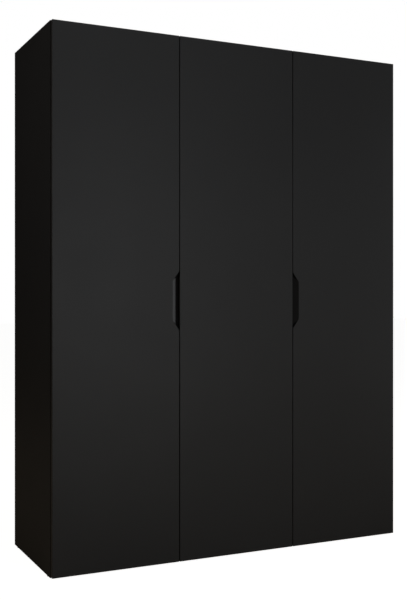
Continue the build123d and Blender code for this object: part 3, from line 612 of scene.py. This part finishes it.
def hardboard(name):
    """Printed black inside, raw mottled fibre outside and on the sawn edges."""
    material, tree, shader, coordinates = new_finish(name)
    place = coordinates.outputs["Object"]
    fibres = noise(tree, place, FIBRES, 6.0, (1, 1, 0.6))
    fine = arithmetic(tree, "MULTIPLY", fibres, FIBRE_SHARE)
    broad = arithmetic(tree, "MULTIPLY", noise(tree, place, CLOUDS, 3.0), 1 - FIBRE_SHARE)
    mottle = spread(tree, arithmetic(tree, "ADD", fine, broad), *MEDIUM, 0, 1)
    raw = blend_colours(tree, mottle, RAW_FIBRE_DARK, RAW_FIBRE)
    inside = spread(tree, facing(tree, coordinates, "Y"), *INSIDE_FACING, 0, 1)
    colour = blend_colours(tree, inside, raw, PRINTED_BLACK)
    tree.links.new(colour, shader.inputs["Base Color"])
    roughness = spread(tree, inside, 0, 1, RAW_ROUGHNESS, PRINT_ROUGHNESS)
    tree.links.new(roughness, shader.inputs["Roughness"])
    bump(tree, shader, fibres, FIBRE_HEIGHT, 0.5)
    return material


finishes["black_hardboard_back"] = hardboard("black_hardboard_back")
print("finishes so far:", sorted(finishes))

# %% [markdown]
# ### Zinc-plated steel
#
# Hinges, plates, cams and screws are steel with a thin zinc coat: bright, faintly blue-grey and
# clouded where the bath left it uneven. Rubbed edges are brighter.

# %% Zinc plate
ZINC_DARK = (0.50, 0.51, 0.53)
ZINC_LIGHT = (0.66, 0.67, 0.69)
ZINC_RUBBED = (0.78, 0.78, 0.77)
ZINC_CLOUDS = 130      # patches per metre
DRAWING_MARKS = 900
MARK_HEIGHT = 0.01 * MM
RUBBED_WIDTH = 0.25 * MM
ZINC_ROUGHNESS = (0.26, 0.42)


def zinc_plated_steel(name):
    """Clouded zinc with fine upright drawing marks and rubbed edges."""
    material, tree, shader, coordinates = new_finish(name, metallic=1.0)
    place = coordinates.outputs["Object"]
    clouds = spread(tree, noise(tree, place, ZINC_CLOUDS, 4.0), *SOFT, 0, 1)
    colour = blend_colours(tree, clouds, ZINC_DARK, ZINC_LIGHT)
    colour = blend_colours(tree, edge_mask(tree, RUBBED_WIDTH), colour, ZINC_RUBBED)
    tree.links.new(colour, shader.inputs["Base Color"])
    drawn = noise(tree, place, DRAWING_MARKS, 2.0, (1, 1, 0.08))
    tree.links.new(spread(tree, drawn, *SOFT, *ZINC_ROUGHNESS), shader.inputs["Roughness"])
    bump(tree, shader, drawn, MARK_HEIGHT, 0.4)
    return material


finishes["zinc_plated_steel"] = zinc_plated_steel("zinc_plated_steel")
print("finishes so far:", sorted(finishes))

# %% [markdown]
# ### Chromed steel
#
# The clothes rail and its sockets are chromed and polished. Hangers slide along the rail and
# leave fine rubbing marks, which show as a change in gloss more than in colour.

# %% Chrome
CHROME_DARK = (0.72, 0.73, 0.75)
CHROME_LIGHT = (0.80, 0.80, 0.81)
HAZE = 25              # patches per metre
RUBBING = 500
RUBBING_RANGE = (0.4, 0.75)
RUBBING_HEIGHT = 0.004 * MM
CHROME_ROUGHNESS = (0.08, 0.2)


def chromed_steel(name):
    """Polished chrome, a little hazy, rubbed across the tube."""
    material, tree, shader, coordinates = new_finish(name, metallic=1.0)
    place = coordinates.outputs["Object"]
    rubbed = noise(tree, place, RUBBING, 3.0, (1, 0.05, 0.05))
    hazy = spread(tree, noise(tree, place, HAZE, 2.0), *MEDIUM, 0, 1)
    colour = blend_colours(tree, hazy, CHROME_DARK, CHROME_LIGHT)
    tree.links.new(colour, shader.inputs["Base Color"])
    roughness = spread(tree, rubbed, *RUBBING_RANGE, *CHROME_ROUGHNESS)
    tree.links.new(roughness, shader.inputs["Roughness"])
    bump(tree, shader, rubbed, RUBBING_HEIGHT, 0.3)
    return material


finishes["chromed_steel"] = chromed_steel("chromed_steel")
print("finishes so far:", sorted(finishes))

# %% [markdown]
# ### Beech dowels
#
# The dowels are turned from beech. Their grain runs along them, so the noise is drawn out along
# X, and the darker, softer lines between the rings are a little rougher.

# %% Beech
BEECH_DARK = (0.50, 0.33, 0.19)
BEECH_LIGHT = (0.68, 0.50, 0.32)
BEECH_GRAIN = 260      # patches per metre, before stretching
BEECH_HEIGHT = 0.05 * MM
BEECH_ROUGHNESS = (0.68, 0.52)


def beech(name):
    """Pale wood with darker grain along X."""
    material, tree, shader, coordinates = new_finish(name)
    grain = noise(tree, coordinates.outputs["Object"], BEECH_GRAIN, 4.0, (0.08, 1, 1))
    colour = blend_colours(tree, spread(tree, grain, *SOFT, 0, 1), BEECH_DARK, BEECH_LIGHT)
    tree.links.new(colour, shader.inputs["Base Color"])
    tree.links.new(spread(tree, grain, *SOFT, *BEECH_ROUGHNESS), shader.inputs["Roughness"])
    bump(tree, shader, grain, BEECH_HEIGHT)
    return material


finishes["beech_dowel"] = beech("beech_dowel")
print("finishes so far:", sorted(finishes))

# %% [markdown]
# ### Moulded plastic
#
# The glides and the strip that joins the backs are moulded in black plastic. The mould is
# spark-eroded, which leaves a fine even texture, and dust settles in it as faint grey patches.

# %% Moulded plastic
PLASTIC_CLEAN = (0.012, 0.012, 0.012)
PLASTIC_DUSTY = (0.022, 0.022, 0.023)
PLASTIC_EDGE = (0.04, 0.04, 0.04)
DUST = 35              # patches per metre
DUST_RANGE = (0.35, 0.7)
SPARK_TEXTURE = 1800
SPARK_HEIGHT = 0.02 * MM
PLASTIC_WORN_WIDTH = 0.3 * MM
PLASTIC_ROUGHNESS = (0.46, 0.58)


def moulded_plastic(name):
    """Black plastic with a fine texture, faint dust and paler edges."""
    material, tree, shader, coordinates = new_finish(name)
    place = coordinates.outputs["Object"]
    texture = noise(tree, place, SPARK_TEXTURE, 2.0)
    dusty = spread(tree, noise(tree, place, DUST, 3.0), *DUST_RANGE, 0, 1)
    colour = blend_colours(tree, dusty, PLASTIC_CLEAN, PLASTIC_DUSTY)
    colour = blend_colours(tree, edge_mask(tree, PLASTIC_WORN_WIDTH), colour, PLASTIC_EDGE)
    tree.links.new(colour, shader.inputs["Base Color"])
    tree.links.new(spread(tree, texture, *SOFT, *PLASTIC_ROUGHNESS), shader.inputs["Roughness"])
    bump(tree, shader, texture, SPARK_HEIGHT, 0.5)
    return material


finishes["black_plastic"] = moulded_plastic("black_plastic")
print("finishes so far:", sorted(finishes))

# %% [markdown]
# ### Bumper gel
#
# The bumpers are soft clear gel. On a black board they look grey and slightly cloudy, and part of
# the light goes through them.

# %% Gel
GEL_DARK = (0.10, 0.10, 0.105)
GEL_LIGHT = (0.16, 0.16, 0.165)
GEL_CLOUDS = 300       # patches per metre
GEL_HEIGHT = 0.02 * MM
GEL_ROUGHNESS = (0.22, 0.34)
GEL_CLEAR = 0.35


def bumper_gel(name):
    """Cloudy grey gel that lets some light through."""
    material, tree, shader, coordinates = new_finish(name)
    cloud = noise(tree, coordinates.outputs["Object"], GEL_CLOUDS, 3.0)
    tree.links.new(blend_colours(tree, cloud, GEL_DARK, GEL_LIGHT), shader.inputs["Base Color"])
    tree.links.new(spread(tree, cloud, *SOFT, *GEL_ROUGHNESS), shader.inputs["Roughness"])
    shader.inputs["Transmission Weight"].default_value = GEL_CLEAR
    bump(tree, shader, cloud, GEL_HEIGHT, 0.3)
    return material


finishes["soft_bumper"] = bumper_gel("soft_bumper")
print("finishes so far:", sorted(finishes))

# %% [markdown]
# ## Every part gets its finish
#
# The record says which finish a part has. A board also needs to know which way it faces: its
# shortest side points out of its broad faces.


# %% Assign the finishes
def finish_for(node):
    """The part's finish, and for a melamine board the one for the direction it faces."""
    if slot_of[node] != "black_melamine_board":
        return finishes[slot_of[node]]
    low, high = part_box(node)
    return melamines["XYZ"[int(np.argmin(np.array(high) - np.array(low)))]]


for node, part in frame["nodes"].items():
    for wearer in {part, pieces.get(node, part)}:
        wearer.data.materials.clear()
        wearer.data.materials.append(finish_for(node))
print("parts dressed:", len(frame["nodes"]), "new pieces among them:", len(pieces))

# %% [markdown]
# ## A plain studio
#
# The floor is plain and pale, and the room is white behind the wardrobe. To the camera both are
# white; to the boards they are a dim surround, because a matt black front shows whatever
# brightness faces it. The floor is warmer than the lights, and tints the foot of the doors.

# %% Floor
FLOOR_SIZE = 60.0
FLOOR_BOUNCE = (0.72, 0.60, 0.44)
FLOOR_ROUGHNESS = 0.9
FLOOR_GLOW = 0.97


def white_to_camera(tree, output, dim, bright):
    """Shows one shader to the camera and another to everything else."""
    path = tree.nodes.new("ShaderNodeLightPath")
    mix = tree.nodes.new("ShaderNodeMixShader")
    tree.links.new(path.outputs["Is Camera Ray"], mix.inputs[0])
    tree.links.new(dim, mix.inputs[1])
    tree.links.new(bright, mix.inputs[2])
    tree.links.new(mix.outputs[0], output)


half = FLOOR_SIZE / 2
floor_corners = [(-half, -half, 0), (half, -half, 0), (half, half, 0), (-half, half, 0)]
floor_mesh = bpy.data.meshes.new("studio_floor")
floor_mesh.from_pydata(floor_corners, [], [(0, 1, 2, 3)])
floor = bpy.data.objects.new("studio_floor", floor_mesh)
bpy.context.collection.objects.link(floor)
floor_finish, tree, shader, _ = new_finish(
    "pale_floor", colour=FLOOR_BOUNCE, roughness=FLOOR_ROUGHNESS
)
glow = tree.nodes.new("ShaderNodeEmission")
glow.inputs["Strength"].default_value = FLOOR_GLOW
lit = tree.nodes.new("ShaderNodeAddShader")
tree.links.new(shader.outputs[0], lit.inputs[0])
tree.links.new(glow.outputs[0], lit.inputs[1])
output = tree.nodes["Material Output"].inputs["Surface"]
white_to_camera(tree, output, shader.outputs[0], lit.outputs[0])
floor_mesh.materials.append(floor_finish)
print("floor, metres across:", FLOOR_SIZE)

# %% Surround
ROOM_LIGHT = 0.014
WHITE = (1, 1, 1, 1)
world = bpy.data.worlds.new("studio")
bpy.context.scene.world = world
world.use_nodes = True
tree = world.node_tree
dim = tree.nodes["Background"]
dim.inputs["Color"].default_value = WHITE
dim.inputs["Strength"].default_value = ROOM_LIGHT
bright = tree.nodes.new("ShaderNodeBackground")
bright.inputs["Color"].default_value = WHITE
bright.inputs["Strength"].default_value = 1.0
output = tree.nodes["World Output"].inputs["Surface"]
white_to_camera(tree, output, dim.outputs[0], bright.outputs[0])
print("room light:", ROOM_LIGHT)

# %% [markdown]
# ### Lights
#
# A matt black board shows hardly any colour of its own, so its tone is the blurred reflection of
# the lights. Six large panels stand round the wardrobe. The front panels are a little cool and
# give the doors their slow fall of brightness from left to right. The right panel also lights
# the slope of the left finger notch, which leans towards it, and leaves the other notch dark. Two
# weak warm panels lift the side panel out of the black.


# %% Lights
MIDDLE = (0, -0.1, 1.0)
LIGHT_DISTANCE = 5.0
COOL = (0.95, 0.975, 1.0)
WARM = (1.0, 0.93, 0.86)
PANELS = [  # name, azimuth right of the front, elevation, width and height, watts, colour
    ("front_panel", 10, 1, (1.5, 2.4), 29, COOL),
    ("front_top", 6, 35, (2.5, 1.2), 13, COOL),
    ("right_panel", 64, 3, (3.4, 2.5), 21, COOL),
    ("right_top", 70, 38, (2.5, 1.5), 12, COOL),
    ("left_front", -66, 14, (1.2, 1.8), 13, WARM),
    ("left_back", -112, 16, (2.0, 2.5), 10, WARM),
]


def around(azimuth, elevation):
    """A place seen from the wardrobe's middle at an azimuth right of its front, and an elevation."""
    azimuth, elevation = math.radians(azimuth), math.radians(elevation)
    level = LIGHT_DISTANCE * math.cos(elevation)
    height = MIDDLE[2] + LIGHT_DISTANCE * math.sin(elevation)
    return level * math.sin(azimuth), -level * math.cos(azimuth), height


def soft_light(name, place, size, power, colour):
    """A rectangular area light at place, turned towards the wardrobe's middle."""
    light = bpy.data.lights.new(name, "AREA")
    light.shape = "RECTANGLE"
    light.size, light.size_y = size
    light.energy = power
    light.color = colour
    lamp = bpy.data.objects.new(name, light)
    bpy.context.collection.objects.link(lamp)
    lamp.location = place
    towards = Vector(MIDDLE) - Vector(place)
    lamp.rotation_euler = towards.to_track_quat("-Z", "Y").to_euler()


for name, azimuth, elevation, size, watts, colour in PANELS:
    soft_light(name, around(azimuth, elevation), size, watts, colour)
print("lights:", [panel[0] for panel in PANELS])

# %% [markdown]
# ## Camera
#
# The camera stands at chest height to the left of the wardrobe and looks level, so that upright
# edges stay upright. The small shifts set the wardrobe in the frame without tilting the camera.

# %% Camera
CAMERA_PLACE = (-1.705, -3.429, 1.013)
CAMERA_TURN = -25.22  # degrees, to the right of straight ahead
camera_data = bpy.data.cameras.new("camera")
camera_data.sensor_width = 36
camera_data.lens = 55.27
camera_data.shift_x = 0.0248
camera_data.shift_y = -0.0067
camera = bpy.data.objects.new("camera", camera_data)
bpy.context.collection.objects.link(camera)
camera.location = CAMERA_PLACE
camera.rotation_euler = (math.radians(90), 0, math.radians(CAMERA_TURN))
bpy.context.scene.camera = camera
bpy.context.scene.view_settings.view_transform = "Standard"
print("camera lens in mm:", round(camera_data.lens, 2))
